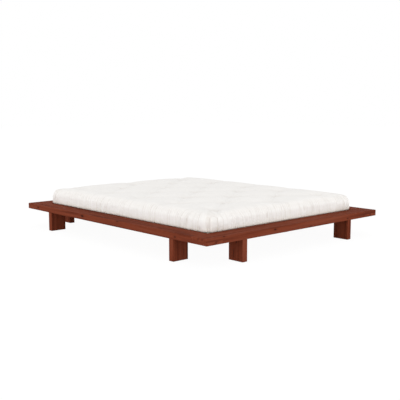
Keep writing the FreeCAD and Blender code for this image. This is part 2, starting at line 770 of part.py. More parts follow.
def top_of(solid, x, y):
    """The height of the solid's top straight above a point of its plan."""
    box = solid.BoundBox
    needle = Part.makeLine(vector(x, y, box.ZMin - box.ZLength), vector(x, y, box.ZMax + box.ZLength))
    return max(vertex.Z for vertex in needle.common(solid).Vertexes)


plain = futon_solid()
pit_half, pit_depth = size("tuft_pit_width") / 2, size("tuft_pit_depth")
pit_radius = (pit_half ** 2 + pit_depth ** 2) / (2 * pit_depth)
pits = [(x, y, top_of(plain, x, y) - pit_depth) for x, y in tuft_places()]
futon = doc.addObject("Part::Feature", "futon")
futon.Shape = plain.cut([Part.makeSphere(pit_radius, vector(x, y, low + pit_radius)) for x, y, low in pits])
FUTON_FLOOR = value_of("%s + tape_thickness + staple_wire + futon_rest_gap" % TAPE_BED)
futon.Placement = FreeCAD.Placement(vector(0, 0, FUTON_FLOOR), FreeCAD.Rotation())
keep(futon, "futon")

# The knots of the tufts, each one seated on the bottom of its pit
knot_seat = pit_radius - math.sqrt(pit_radius ** 2 - (size("tuft_knot") / 2) ** 2)
knot = turned("tuft_knot_pattern", [
    ("0", "0"), ("tuft_knot / 2", "0"), ("tuft_knot / 2", "tuft_knot_height / 2"),
    ("tuft_knot / 3", "tuft_knot_height"), ("0", "tuft_knot_height")])
group("futon_tufts", knot, [(vector(x, y, FUTON_FLOOR + low + knot_seat), up) for x, y, low in pits])


# Check every object, then write each piece

doc.recompute()
for item in doc.Objects:
    if "Invalid" in item.State or "Error" in item.State:
        raise RuntimeError("%s failed: %s" % (item.Label, item.State))
for label, piece in pieces.items():
    if piece.Shape.isNull() or not piece.Shape.isValid():
        raise RuntimeError("%s has no valid shape" % label)

os.makedirs("parts", exist_ok=True)
for label, piece in pieces.items():
    piece.Shape.exportStep("parts/%s.step" % label)
print("%d pieces written" % len(pieces))
for label, piece in pieces.items():
    box = piece.Shape.BoundBox
    print("%-22s solids %3d  x %7.1f %7.1f  y %7.1f %7.1f  z %6.1f %6.1f"
          % (label, len(piece.Shape.Solids), box.XMin, box.XMax, box.YMin, box.YMax, box.ZMin, box.ZMax))
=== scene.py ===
# %% [markdown]
# A low futon bed: wide, flat, stained pine boards make a rim on eight board legs, and a tufted
# cotton futon lies in the rim on slats. The wooden and metal pieces come ready made in the frame and
# get their finish here. The futon is soft, so its form is modelled here. Everything is in metres,
# +Z is up, +Y runs from the foot of the bed to its head, and the origin is on the floor.

# %% The frame
import math

import bmesh
import bpy
import numpy as np
from mathutils import Euler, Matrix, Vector


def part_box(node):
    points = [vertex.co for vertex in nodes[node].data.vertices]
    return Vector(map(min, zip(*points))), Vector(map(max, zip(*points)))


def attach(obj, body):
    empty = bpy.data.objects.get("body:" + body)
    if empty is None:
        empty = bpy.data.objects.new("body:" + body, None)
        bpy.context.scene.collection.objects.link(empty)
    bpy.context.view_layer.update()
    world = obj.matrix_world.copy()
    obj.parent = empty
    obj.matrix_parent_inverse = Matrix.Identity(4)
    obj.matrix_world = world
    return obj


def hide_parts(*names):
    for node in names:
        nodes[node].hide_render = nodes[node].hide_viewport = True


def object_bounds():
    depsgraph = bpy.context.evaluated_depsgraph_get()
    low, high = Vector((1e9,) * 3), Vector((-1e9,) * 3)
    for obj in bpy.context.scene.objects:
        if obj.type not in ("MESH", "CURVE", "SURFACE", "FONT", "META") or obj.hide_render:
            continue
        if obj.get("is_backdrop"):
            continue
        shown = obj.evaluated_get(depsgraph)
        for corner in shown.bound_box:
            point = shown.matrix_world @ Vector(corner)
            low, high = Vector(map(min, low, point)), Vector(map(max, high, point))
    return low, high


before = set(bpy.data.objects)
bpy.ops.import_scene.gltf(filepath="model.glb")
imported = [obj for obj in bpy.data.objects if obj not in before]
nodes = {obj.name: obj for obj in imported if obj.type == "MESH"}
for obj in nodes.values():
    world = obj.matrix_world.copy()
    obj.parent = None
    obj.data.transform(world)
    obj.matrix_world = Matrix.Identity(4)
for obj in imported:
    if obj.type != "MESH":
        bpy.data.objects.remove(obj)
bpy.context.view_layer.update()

# %% [markdown]
# The camera stands a little above the bed, outside the near corner, and looks down at it slightly.
# Its place, its two angles and its lens were worked out from the corners of the rim and the legs in
# the photograph, so it is set by those values rather than aimed at the bed.

# %% The camera
CAMERA_PLACE = (-3.8454, -4.2482, 1.0236)
CAMERA_HEADING = math.radians(47.511 - 90)
CAMERA_PITCH = math.radians(7.645)
CAMERA_LENS = 61.215
SENSOR_WIDTH = 36.0

camera_data = bpy.data.cameras.new("camera")
camera_data.lens = CAMERA_LENS
camera_data.sensor_width = SENSOR_WIDTH
camera = bpy.data.objects.new("camera", camera_data)
camera.location = CAMERA_PLACE
camera.rotation_euler = (math.pi / 2 - CAMERA_PITCH, 0.0, CAMERA_HEADING)
bpy.context.scene.collection.objects.link(camera)
bpy.context.scene.camera = camera
bpy.context.scene.view_settings.view_transform = "Standard"
print("camera at", CAMERA_PLACE, "lens", CAMERA_LENS, "mm")

# %% [markdown]
# Small helpers for materials. A node is made by its type, and each of its inputs is set or linked by
# its name, so that each material below reads as a list of what it is made of.

# %% Helpers for nodes
def add_node(tree, kind, inputs=(), **settings):
    """Make a node, set its settings, and for each input either set its value or link it."""
    node = tree.nodes.new(kind)
    for name, value in settings.items():
        setattr(node, name, value)
    for name, value in dict(inputs).items():
        if isinstance(value, bpy.types.NodeSocket):
            tree.links.new(value, node.inputs[name])
        else:
            node.inputs[name].default_value = value
    return node


def math_node(tree, operation, first, second=0.0):
    """One Math node of the given operation; its inputs are numbers or sockets."""
    return add_node(tree, "ShaderNodeMath", {0: first, 1: second}, operation=operation).outputs[0]


def vector_node(tree, operation, first, second=(0.0, 0.0, 0.0)):
    """One Vector Math node of the given operation; a number in place of a vector counts three times."""
    node = add_node(tree, "ShaderNodeVectorMath", {0: first, 1: second}, operation=operation)
    return node.outputs["Value" if operation == "LENGTH" else "Vector"]


def noise(tree, place, scale, detail, roughness=0.5):
    """The outputs of a Noise texture at a place."""
    inputs = {"Vector": place, "Scale": scale, "Detail": detail, "Roughness": roughness}
    return add_node(tree, "ShaderNodeTexNoise", inputs).outputs


def ramp(tree, value, stops):
    """A colour ramp with the given (place, grey or colour) stops."""
    node = add_node(tree, "ShaderNodeValToRGB", {"Fac": value})
    points = node.color_ramp.elements
    while len(points) < len(stops):
        points.new(0.5)
    for point, (place, colour) in zip(points, stops):
        point.position = place
        point.color = (*colour, 1.0) if isinstance(colour, tuple) else (colour, colour, colour, 1.0)
    return node.outputs["Color"]


def mixed(tree, share, first, second):
    """The first colour, which goes over into a second, plain one by the given share."""
    node = add_node(tree, "ShaderNodeMixRGB", {"Fac": share, "Color1": first, "Color2": (*second, 1.0)})
    return node.outputs[0]


def dress(tree, shader, colour, roughness, height, strength, distance):
    """Link a shader's colour and roughness, and a bump from a height that stands for the distance."""
    bump = add_node(tree, "ShaderNodeBump", {"Height": height, "Strength": strength, "Distance": distance})
    for name, socket in (("Base Color", colour), ("Roughness", roughness), ("Normal", bump.outputs[0])):
        tree.links.new(socket, shader.inputs[name])


def new_group(name, inputs, outputs):
    """A shader node group with named inputs (name, type, default) and outputs (name, type)."""
    group = bpy.data.node_groups.new(name, "ShaderNodeTree")
    for label, kind, default in inputs:
        socket = group.interface.new_socket(label, in_out="INPUT", socket_type="NodeSocket" + kind)
        socket.default_value = default
    for label, kind in outputs:
        group.interface.new_socket(label, in_out="OUTPUT", socket_type="NodeSocket" + kind)
    return group, group.nodes.new("NodeGroupInput").outputs, group.nodes.new("NodeGroupOutput").inputs


def new_material(name, kind="ShaderNodeBsdfPrincipled"):
    """A material with one shader node at its output; returns it, its tree and that node."""
    material = bpy.data.materials.new(name)
    material.use_nodes = True
    tree = material.node_tree
    tree.nodes.clear()
    shader = tree.nodes.new(kind)
    output = tree.nodes.new("ShaderNodeOutputMaterial")
    tree.links.new(shader.outputs[0], output.inputs["Surface"])
    return material, tree, shader

# %% [markdown]
# Pine is a stack of growth rings: pale early wood and narrow dark late wood, as sleeves round the
# middle of the tree. A board is cut out of that stack, so the same three-dimensional pattern gives
# straight lines on an edge, arches on a wide face and arcs on an end. The group below works out the
# distance from the tree's middle line, which runs along the board, and turns it into rings. Slow
# noise along the board makes the rings wander, and fine noise stretched along it makes the pores.

# %% Growth rings and pores
def stretched(tree, place, share):
    """A place for a pattern that is drawn out along Y, the length of the board."""
    return add_node(tree, "ShaderNodeMapping", {"Vector": place, "Scale": (1.0, share, 1.0)}).outputs[0]


def make_pine_grain():
    """Rings from the distance to a line along local Y; the line's place comes as an input."""
    group, given, made = new_group(
        "pine_grain",
        [("Vector", "Vector", (0.0, 0.0, 0.0)), ("Heart", "Vector", (0.0, 0.0, 0.0)),
         ("Ring Width", "Float", 0.004), ("Wander", "Float", 0.012)],
        [("Late Wood", "Float"), ("Streak", "Float"), ("Pores", "Float")])
    place = vector_node(group, "SUBTRACT", given["Vector"], given["Heart"])
    wander = noise(group, stretched(group, place, 0.22), 4.5, 2.0)["Color"]
    centred = vector_node(group, "SUBTRACT", wander, (0.5, 0.5, 0.5))
    moved = vector_node(group, "ADD", place, vector_node(group, "MULTIPLY", centred, given["Wander"]))
    distance = vector_node(group, "LENGTH", vector_node(group, "MULTIPLY", moved, (1.0, 0.0, 1.0)))
    rings = math_node(group, "FRACT", math_node(group, "DIVIDE", distance, given["Ring Width"]))
    late = ramp(group, rings, [(0.0, 0.0), (0.55, 0.12), (0.86, 1.0), (1.0, 0.05)])
    streak = noise(group, stretched(group, moved, 0.035), 42.0, 3.0)["Fac"]
    pores = noise(group, stretched(group, place, 0.03), 900.0, 2.0)["Fac"]
    for output, socket in (("Late Wood", late), ("Streak", streak), ("Pores", pores)):
        group.links.new(socket, made[output])
    return group


def make_knot():
    """A dark eye and its paler halo at a point; both fade with the distance from the point."""
    group, given, made = new_group(
        "knot", [("Vector", "Vector", (0.0, 0.0, 0.0)), ("Place", "Vector", (0.0, 0.0, 0.0)),
                 ("Radius", "Float", 0.01), ("Stretch", "Float", 0.5)],
        [("Eye", "Float"), ("Halo", "Float")])
    offset = vector_node(group, "SUBTRACT", given["Vector"], given["Place"])
    parts = add_node(group, "ShaderNodeSeparateXYZ", {0: offset}).outputs
    along = math_node(group, "MULTIPLY", parts["Y"], given["Stretch"])
    squashed = add_node(group, "ShaderNodeCombineXYZ", {"X": parts["X"], "Y": along, "Z": parts["Z"]})
    reach = math_node(group, "DIVIDE", vector_node(group, "LENGTH", squashed.outputs[0]), given["Radius"])
    ragged = math_node(group, "MULTIPLY", noise(group, given["Vector"], 90.0, 1.0)["Fac"], 0.5)
    rough = math_node(group, "ADD", reach, ragged)
    group.links.new(ramp(group, rough, [(0.0, 1.0), (0.9, 0.95), (1.1, 0.0)]), made["Eye"])
    wide = math_node(group, "MULTIPLY", rough, 0.4)
    group.links.new(ramp(group, wide, [(0.0, 1.0), (0.4, 0.7), (1.0, 0.0)]), made["Halo"])
    return group


PINE_GRAIN = make_pine_grain()
KNOT = make_knot()
print("wood groups:", PINE_GRAIN.name, KNOT.name)

# %% [markdown]
# Stained pine: the stain soaks into the soft early wood and leaves the late wood a little darker and
# redder, under a satin lacquer. Each board has its own material, because each is cut from another
# place in the tree and has its knots in other places. The grain runs along local Y, so the boards
# that run along X have their pattern turned a quarter.

# %% Stained pine
STAIN = (0.183, 0.0415, 0.0195)
STAIN_LIGHT = (0.205, 0.055, 0.030)
STAIN_DARK = (0.096, 0.021, 0.0115)
KNOT_DARK = (0.035, 0.010, 0.007)
LATE_WOOD_SHARE, HALO_SHARE, EYE_SHARE = 0.28, 0.35, 0.85
KNOT_STRETCH = 0.5
LACQUER_SHINE = 0.010
QUARTER = math.pi / 2


def add_grain(tree, turn, upright, inputs):
    """The grain group with the length of the board as its Y; returns its place, rotation and outputs."""
    place = add_node(tree, "ShaderNodeTexCoord").outputs["Object"]
    rotation = Euler((QUARTER if upright else 0.0, 0.0, turn))
    turned = add_node(tree, "ShaderNodeMapping", {"Vector": place, "Rotation": rotation}).outputs[0]
    grain = add_node(tree, "ShaderNodeGroup", {"Vector": turned, **inputs}, node_tree=PINE_GRAIN)
    return turned, rotation, grain.outputs


def stained_pine(name, heart, knots=(), turn=0.0, upright=False, strength=1.0):
    """One board's material: heart is the tree's middle line, knots are (x, y, z, radius, stretch)."""
    material, tree, shader = new_material(name)
    turned, rotation, grain = add_grain(tree, turn, upright, {"Heart": heart})
    streaks = ramp(tree, grain["Streak"], [(0.32, STAIN_DARK), (0.5, STAIN), (0.75, STAIN_LIGHT)])
    late_wood = math_node(tree, "MULTIPLY", grain["Late Wood"], LATE_WOOD_SHARE * strength)
    colour = mixed(tree, late_wood, streaks, STAIN_DARK)
    for knot_x, knot_y, knot_z, radius, *stretch in knots:
        place = rotation.to_matrix() @ Vector((knot_x, knot_y, knot_z))
        inputs = {"Vector": turned, "Place": place, "Radius": radius, "Stretch": (*stretch, KNOT_STRETCH)[0]}
        knot = add_node(tree, "ShaderNodeGroup", inputs, node_tree=KNOT).outputs
        colour = mixed(tree, math_node(tree, "MULTIPLY", knot["Halo"], HALO_SHARE), colour, STAIN_DARK)
        colour = mixed(tree, math_node(tree, "MULTIPLY", knot["Eye"], EYE_SHARE), colour, KNOT_DARK)
    gloss = ramp(tree, grain["Pores"], [(0.3, 0.72), (0.7, 0.60)])
    height = math_node(tree, "ADD", math_node(tree, "MULTIPLY", grain["Late Wood"], 0.5), grain["Pores"])
    dress(tree, shader, colour, gloss, height, 0.12, 0.0006)
    shader.inputs["Specular IOR Level"].default_value = LACQUER_SHINE
    return material


def finish_with(node_name, material):
    """Give a ready-made piece its material in every slot that it has."""
    mesh = nodes[node_name].data
    mesh.materials.clear()
    mesh.materials.append(material)


# The heart, the knots and the turn of each board
RIM_BOARDS = {
    "long_rail_left": ((-1.02, 0.0, 0.05), (
        (-0.952, 0.981, 0.178, 0.008), (-0.951, 0.289, 0.185, 0.013), (-0.951, -0.182, 0.204, 0.011),
        (-0.951, -0.839, 0.174, 0.007), (-0.862, 0.316, 0.203, 0.010), (-0.904, -0.631, 0.203, 0.009)), 0.0),
    "long_rail_right": ((0.99, 0.0, 0.04), (
        (0.951, 0.62, 0.182, 0.011), (0.951, -0.47, 0.19, 0.009), (0.87, -0.86, 0.203, 0.010),
        (0.90, 0.14, 0.203, 0.008)), 0.0),
    "foot_rail": ((0.0, 1.21, 0.06), (
        (-0.294, -1.151, 0.188, 0.009), (0.104, -1.151, 0.162, 0.007), (-0.795, -1.149, 0.203, 0.008),
        (0.562, -1.151, 0.172, 0.006)), QUARTER),
    "head_rail": ((0.0, 1.02, 0.05), (
        (-0.42, 1.151, 0.18, 0.010), (0.51, 1.151, 0.19, 0.008), (0.08, 1.06, 0.203, 0.009)), QUARTER),
}
for board, (heart, knots, turn) in RIM_BOARDS.items():
    finish_with(board, stained_pine("stained_" + board, heart, knots, turn))
LEG_KNOTS = {
    "leg_foot_left": ((-0.615, -1.083, 0.132, 0.008, 0.6), (-0.615, -1.0605, 0.050, 0.0035, 0.08)),
    "leg_left_foot": ((-0.850, -0.815, 0.055, 0.003, 0.08),),
}
LEGS = sorted(name for name in nodes if name.startswith("leg_") and not name.endswith(("bolts", "inserts")))
# Each leg is cut in another direction from the middle of its tree
HEART_DISTANCE, HEART_TURN, LEG_STRENGTH = 0.08, 2.1, 1.4
for number, leg in enumerate(LEGS):
    low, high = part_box(leg)
    middle = (Vector(low) + Vector(high)) / 2
    heart = (middle.x + HEART_DISTANCE * math.cos(number * HEART_TURN), 0.0,
             -middle.y + HEART_DISTANCE * math.sin(number * HEART_TURN))
    pine = stained_pine("stained_" + leg, heart, LEG_KNOTS.get(leg, ()), upright=True, strength=LEG_STRENGTH)
    finish_with(leg, pine)
print("boards:", len(RIM_BOARDS), "legs:", len(LEGS))

# %% [markdown]
# The slats, ledgers and centre beam are bare pine: the same rings in pale colours, with no lacquer.
# One pattern serves them all, turned along each board. They lie at different heights and places in
# it, so no two look alike.

# %% Bare pine
PINE_DARK, PINE_LIGHT, PINE_RING = (0.50, 0.31, 0.15), (0.66, 0.46, 0.26), (0.40, 0.20, 0.08)


def bare_pine(name, turn=0.0, upright=False):
    """Planed pine with no finish, for boards that run along one axis."""
    material, tree, shader = new_material(name)
    grain = add_grain(tree, turn, upright, {"Heart": (0.31, 0.0, -0.23), "Ring Width": 0.005})[2]
    streaks = ramp(tree, grain["Streak"], [(0.3, PINE_DARK), (0.7, PINE_LIGHT)])
    colour = mixed(tree, math_node(tree, "MULTIPLY", grain["Late Wood"], 0.5), streaks, PINE_RING)
    gloss = ramp(tree, grain["Pores"], [(0.3, 0.75), (0.7, 0.62)])
    dress(tree, shader, colour, gloss, grain["Pores"], 0.2, 0.0008)
    return material


BARE_ACROSS = bare_pine("bare_pine_across", QUARTER)
BARE_ALONG = bare_pine("bare_pine_along")
BARE_UPRIGHT = bare_pine("bare_pine_upright", upright=True)
for name in nodes:
    if name.startswith("slat_") and name[-2:].isdigit():
        finish_with(name, BARE_ACROSS)
for name in ("centre_beam", "ledger_left", "ledger_right"):
    finish_with(name, BARE_ALONG)
for name in ("centre_leg_head", "centre_leg_foot"):
    finish_with(name, BARE_UPRIGHT)
print("bare pine:", BARE_ACROSS.name, BARE_ALONG.name, BARE_UPRIGHT.name)

# %% [markdown]
# Bolts, screws, staples and beam shoes are zinc plated: a metal whose brightness shifts in small
# cloudy patches where the zinc has crystallised. The inserts are turned brass, in the same way but
# with smaller patches.

# %% Metals
DULLER = 0.12


def metal(name, dark, light, roughness, patch):
    """A metal whose colour and gloss wander between two values in patches of the given size."""
    material, tree, shader = new_material(name)
    place = add_node(tree, "ShaderNodeTexCoord").outputs["Object"]
    clouds = noise(tree, place, 1.0 / patch, 3.0)["Fac"]
    colour = ramp(tree, clouds, [(0.35, dark), (0.65, light)])
    gloss = ramp(tree, clouds, [(0.3, roughness + DULLER), (0.7, roughness)])
    dress(tree, shader, colour, gloss, clouds, 0.1, 0.0005)
    shader.inputs["Metallic"].default_value = 1.0
    return material


ZINC = metal("zinc_plate", (0.42, 0.43, 0.45), (0.62, 0.63, 0.65), 0.32, 0.006)
BRASS = metal("turned_brass", (0.58, 0.41, 0.16), (0.78, 0.60, 0.28), 0.25, 0.003)
for name in ("beam_shoe_foot", "beam_shoe_head", "leg_bolts", "corner_bolts", "ledger_screws", "slat_screws",
             "shoe_screws", "tape_staples"):
    finish_with(name, ZINC)
for name in ("leg_inserts", "corner_inserts"):
    finish_with(name, BRASS)
print("metals:", ZINC.name, BRASS.name)

# %% [markdown]
# Cloth is threads that go over and under each other. The group makes that from two waves that cross,
# one for the warp and one for the weft, and a slow cloud for the unevenness of unbleached cotton.
# The futon's cover is a twill, whose steps make fine slanted lines, and the tapes are a plain weave
# of thicker yarn.

# %% Woven cotton
def make_weave():
    """Height of crossed threads from two sines, and a cloud that makes the yarn uneven."""
    group, given, made = new_group(
        "weave", [("Vector", "Vector", (0.0, 0.0, 0.0)), ("Thread", "Float", 0.001), ("Slant", "Float", 1.0)],
        [("Height", "Float"), ("Cloud", "Float")])
    parts = add_node(group, "ShaderNodeSeparateXYZ", {0: given["Vector"]}).outputs
    turn = math_node(group, "DIVIDE", 2 * math.pi, given["Thread"])
    across = math_node(group, "SINE", math_node(group, "MULTIPLY", parts["X"], turn))
    slanted = math_node(group, "ADD", math_node(group, "MULTIPLY", parts["X"], given["Slant"]),
                        math_node(group, "ADD", parts["Y"], parts["Z"]))
    along = math_node(group, "SINE", math_node(group, "MULTIPLY", slanted, turn))
    height = math_node(group, "MULTIPLY", math_node(group, "ADD", across, along), 0.25)
    group.links.new(height, made["Height"])
    group.links.new(noise(group, given["Vector"], 9.0, 4.0, 0.6)["Fac"], made["Cloud"])
    return group


WEAVE = make_weave()
# Painted shade on the cover: a grey-brown for its creases, tufts, top and roll, and a yellower one for
# its foot, where it lies against the red rim
PAINTED_FOLD_SHADE = (0.60, 0.535, 0.475)
PAINTED_FOOT_SHADE = (0.68, 0.64, 0.44)


def cotton(name, shade, light, thread, slant, sheen, on_map=False):
    """Cotton cloth of two close colours, with its weave as bump; on_map is for the futon's cover, whose
    colour also goes over into painted shade.
    """
    material, tree, shader = new_material(name)
    place = add_node(tree, "ShaderNodeTexCoord").outputs["UV" if on_map else "Object"]
    weave = add_node(tree, "ShaderNodeGroup", {"Vector": place, "Thread": thread, "Slant": slant},
                     node_tree=WEAVE).outputs
    colour = ramp(tree, weave["Cloud"], [(0.3, shade), (0.7, light)])
    if on_map:
        # The attributes fold and foot give the shares of painted shade at each point
        for tone, painted_colour in (("fold", PAINTED_FOLD_SHADE), ("foot", PAINTED_FOOT_SHADE)):
            share = add_node(tree, "ShaderNodeAttribute", attribute_name=tone, attribute_type="GEOMETRY")
            colour = mixed(tree, share.outputs["Fac"], colour, painted_colour)
    fleck = noise(tree, place, 160.0, 3.0)["Fac"]
    height = math_node(tree, "ADD", weave["Height"], math_node(tree, "MULTIPLY", fleck, 0.8))
    dress(tree, shader, colour, ramp(tree, fleck, [(0.3, 0.95), (0.7, 0.85)]), height, 0.35, 0.0008)
    for socket, value in (("Specular IOR Level", 0.2), ("Sheen Weight", sheen), ("Sheen Roughness", 0.5)):
        shader.inputs[socket].default_value = value
    return material


# These colours are set light for the lower side, where less light reaches, which is painted light; painted
# shade takes the top, the roll and the folds down from them
COVER = cotton("cotton_cover", (0.952, 0.941, 0.922), (0.970, 0.961, 0.946), 0.0012, 1.0, 0.1,
               on_map=True)
TAPE = cotton("cotton_tape", (0.60, 0.56, 0.48), (0.72, 0.68, 0.60), 0.002, 0.0, 0.05)
THREAD = cotton("tuft_thread", (0.82, 0.79, 0.73), (0.90, 0.88, 0.83), 0.0015, 2.0, 0.05)
for name in ("slat_tape_left", "slat_tape_right"):
    finish_with(name, TAPE)
finish_with("futon_tufts", THREAD)
print("cottons:", COVER.name, TAPE.name, THREAD.name)

# %% [markdown]
# The futon is a cotton cover round cotton batting. Tufts are sewn right through it in staggered
# rows, so its top is a field of soft hills with a pit at each tuft. The knots of the tufts are ready
# made, so their box and their lowest points give the places and depths of the pits.

# %% The places of the tufts and the size of the futon
futon_low, futon_high = (Vector(corner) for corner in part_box("futon"))
TUFT_STEPS_ACROSS = TUFT_STEPS_ALONG = 2
tuft_high = Vector(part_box("futon_tufts")[1])
KNOT_RADIUS = 0.007
column_step = (tuft_high.x - KNOT_RADIUS) / TUFT_STEPS_ACROSS
row_step = (tuft_high.y - KNOT_RADIUS) / TUFT_STEPS_ALONG
tufts = np.array([(column * column_step, row * row_step)
                  for column in range(-TUFT_STEPS_ACROSS, TUFT_STEPS_ACROSS + 1)
                  for row in (range(-TUFT_STEPS_ALONG, TUFT_STEPS_ALONG + 1) if column % 2 == 0 else
                              [step + 0.5 for step in range(-TUFT_STEPS_ALONG, TUFT_STEPS_ALONG)])])


def mesh_points(mesh):
    """All points of a mesh as an array with one row each."""
    places = np.empty(len(mesh.vertices) * 3)
    mesh.vertices.foreach_get("co", places)
    return places.reshape(-1, 3)


def tuft_distances(points):
    """Distance in plan from each point to each tuft, one row for each point."""
    return np.linalg.norm(points[:, None, :2] - tufts[None], axis=2)


knots = mesh_points(nodes["futon_tufts"].data)
nearest = tuft_distances(knots).argmin(1)
knot_floors = np.full(len(tufts), np.inf)
np.minimum.at(knot_floors, nearest, knots[:, 2])
print("tufts:", len(tufts), "steps", round(column_step, 3), round(row_step, 3),
      "lowest knot", knot_floors.min().round(4))

# %% [markdown]
# The cover's surface starts as the six faces of a box, on a grid of nearly even steps. The foot has
# rows of its own, where the cover leaves the recess and bends out over the rim's edge. Each point
# also keeps its flat place on the cloth, which carries the weave later.

# %% The box grid
CLOTH_STEP = 0.012


def box_grid(marks):
    """The closed surface of a box as a grid with shared edges, its lines at the marks on each axis.

    Returns its points, its quads, and for each corner of each quad its two flat coordinates on the
    face that it lies in, which later carry the weave.
    """
    points, faces, flats, start = [], [], [], 0
    for axis in range(3):
        first, second = [a for a in range(3) if a != axis]
        grid_a, grid_b = np.meshgrid(marks[first], marks[second], indexing="ij")
        index = np.arange(grid_a.size).reshape(grid_a.shape)
        quads = np.stack([index[:-1, :-1], index[1:, :-1], index[1:, 1:], index[:-1, 1:]], -1).reshape(-1, 4)
        for sign in (-1, 1):
            face = np.zeros((grid_a.size, 3))
            face[:, first], face[:, second] = grid_a.ravel(), grid_b.ravel()
            face[:, axis] = marks[axis][-1 if sign > 0 else 0]
            outward = (sign > 0) != (axis == 1)
            ordered = quads if outward else quads[:, ::-1]
            points.append(face)
            faces.append(ordered + start)
            flats.append(face[ordered][:, :, [first, second]])
            start += grid_a.size
    points, faces = np.concatenate(points), np.concatenate(faces)
    unique, back = np.unique(np.round(points, 6), axis=0, return_inverse=True)
    return unique, back.reshape(-1)[faces], np.concatenate(flats)


half_size = (np.array(futon_high) - np.array(futon_low)) / 2
# Heights above the foot where the cover leaves the recess, bends over the rim's edge and is upright
LEAVES_RIM, OVER_RIM, UPRIGHT = 0.0078, 0.0094, 0.016


def even_marks(low, high):
    """Places from low to high, as near to a cloth step apart as goes in evenly."""
    return np.linspace(low, high, int(round((high - low) / CLOTH_STEP)) + 1)


foot, head = -half_size[2], half_size[2]
levels = np.concatenate([foot + np.array([0.0, LEAVES_RIM / 2, LEAVES_RIM, OVER_RIM]),
                         even_marks(foot + UPRIGHT, head)])
grid_points, grid_quads, grid_flats = box_grid([even_marks(-half_size[0], half_size[0]),
                                                even_marks(-half_size[1], half_size[1]), levels])
print("cloth points:", len(grid_points), "quads:", len(grid_quads))

# %% [markdown]
# The box is rounded in plan and in section. Its sides then lean in at the foot, and its top gets its
# crown, its shoulders and a pit at each tuft, all as formulas of the place on the cloth.

# %% The rounded box
EDGE_ROLL, EDGE_RISE = 0.043, 0.066
FOOT_ROLL = 0.020
FOOT_CORNER, TOP_CORNER = 0.030, 0.055
FOOT_TUCK = 0.013
SWELL = 0.002
CORNER_GROWTH = 0.7
TINY = 1e-9


def ramped(value, start, reach):
    """0 up to the start and 1 from one reach further on, straight between them."""
    return np.clip((value - start) / reach, 0, 1)


def rounded_box(points):
    """Corners become quarter circles in plan and the edges roll over in section.

    A point keeps its nearest place on a smaller inner rectangle, and stands off from it by the same
    amount in every direction. That amount, the corner's radius, grows from the foot to the top. Where
    a point is near both a side and the top or bottom, its two gaps to them are drawn onto a quarter
    ellipse: a circle at the foot, and higher than it is wide at the top.
    """
    plan, level = points[:, :2], points[:, 2]
    share = level / (2 * half_size[2]) + 0.5
    corner = FOOT_CORNER + (TOP_CORNER - FOOT_CORNER) * ramped(share, 0, CORNER_GROWTH)
    straight = half_size[:2] - corner[:, None]
    inner = np.clip(plan, -straight, straight)
    out = plan - inner
    direction = out / np.maximum(np.linalg.norm(out, axis=1), TINY)[:, None]
    stand_off = np.abs(out).max(1)
    roll, rise = np.where(level > 0, EDGE_ROLL, FOOT_ROLL), np.where(level > 0, EDGE_RISE, FOOT_ROLL)
    side_gap, end_gap = corner - stand_off, half_size[2] - np.abs(level)
    a, b = np.clip(1 - side_gap / roll, 0, 1), np.clip(1 - end_gap / rise, 0, 1)
    scale = np.where((a > 0) & (b > 0), np.maximum(a, b) / np.maximum(np.hypot(a, b), TINY), 1.0)
    side_gap = np.where(a > 0, roll * (1 - a * scale), side_gap)
    end_gap = np.where(b > 0, rise * (1 - b * scale), end_gap)
    plan = inner + direction * (corner - side_gap)[:, None]
    return plan, np.sign(level) * (half_size[2] - end_gap), direction


print("corners rounded by", FOOT_CORNER, "m at the foot and", TOP_CORNER, "m at the top")

# %% The futon before it is puffed up
CROWN, CROWN_REACH = 0.008, 0.5
SHOULDER, SHOULDER_REACH = 0.006, 0.05
KNOT_SINK = 0.0015
PIT_SHARE, BOWL_SHARE = 0.42, 0.30
PIT_WIDTH, BOWL_WIDTH, HOLLOW_WIDTH = 0.024, 0.060, 0.130
TUCK_SHARES = (1.0, 0.25, 0.0)


def crown_height(plan):
    """Height of the top over a place in plan, which falls off towards the edge."""
    edge = np.clip((half_size[:2] - np.abs(plan)).min(1), 0, CROWN_REACH)
    fall = CROWN * (1 - (edge / CROWN_REACH) ** 0.7)
    return futon_high.z - fall - SHOULDER * np.exp(-edge / SHOULDER_REACH)


def sewn_futon(points):
    """The rounded box with its foot tucked in and its top drawn down to each tuft's knot.

    Each tuft pulls the top down by the whole way to its knot, times a share that falls off with the
    distance: a narrow pit, a bowl the width of a palm and a shallow hollow twice as wide.
    """
    plan, level, direction = rounded_box(points)
    share = level / (2 * half_size[2]) + 0.5
    tuck = FOOT_TUCK * np.interp(level + half_size[2], (LEAVES_RIM, OVER_RIM, UPRIGHT), TUCK_SHARES)
    belly = SWELL * ramped(share, 0, 0.3)
    plan = plan - direction * (tuck + belly)[:, None]
    top = ramped(share, 0.6, 0.3)
    fall = futon_high.z - crown_height(plan) + SWELL
    ways_down = crown_height(tufts) - SWELL - knot_floors - KNOT_SINK
    pulls = []
    for tuft, way_down in zip(tufts, ways_down):
        distance = np.linalg.norm(plan - tuft, axis=1)
        pit = PIT_SHARE / (1 + (distance / PIT_WIDTH) ** 4)
        bowl = BOWL_SHARE * np.exp(-(distance / BOWL_WIDTH) ** 1.5)
        hollow = (1 - PIT_SHARE - BOWL_SHARE) * np.exp(-(distance / HOLLOW_WIDTH) ** 2)
        pulls.append(way_down * (pit + bowl + hollow))
    fall += np.sum(pulls, axis=0)
    return np.column_stack([plan, level - top * fall + (futon_low.z + futon_high.z) / 2])


sewn_points = sewn_futon(grid_points)
print("futon before puffing", sewn_points.min(0).round(4), sewn_points.max(0).round(4))

# %% [markdown]
# The cloth solver then does what the batting does: it pushes the cover out everywhere but at the
# tufts and at the underside, which lies on the slats. The cover is a few percent larger than the form
# that it starts from, and this slack makes the folds that run from tuft to tuft. Gravity is off,
# because the batting carries the cloth. Afterwards no point may stand further than 16 mm from where
# it started, and most of what would go inwards is cut, so that the futon fills the size of its space.

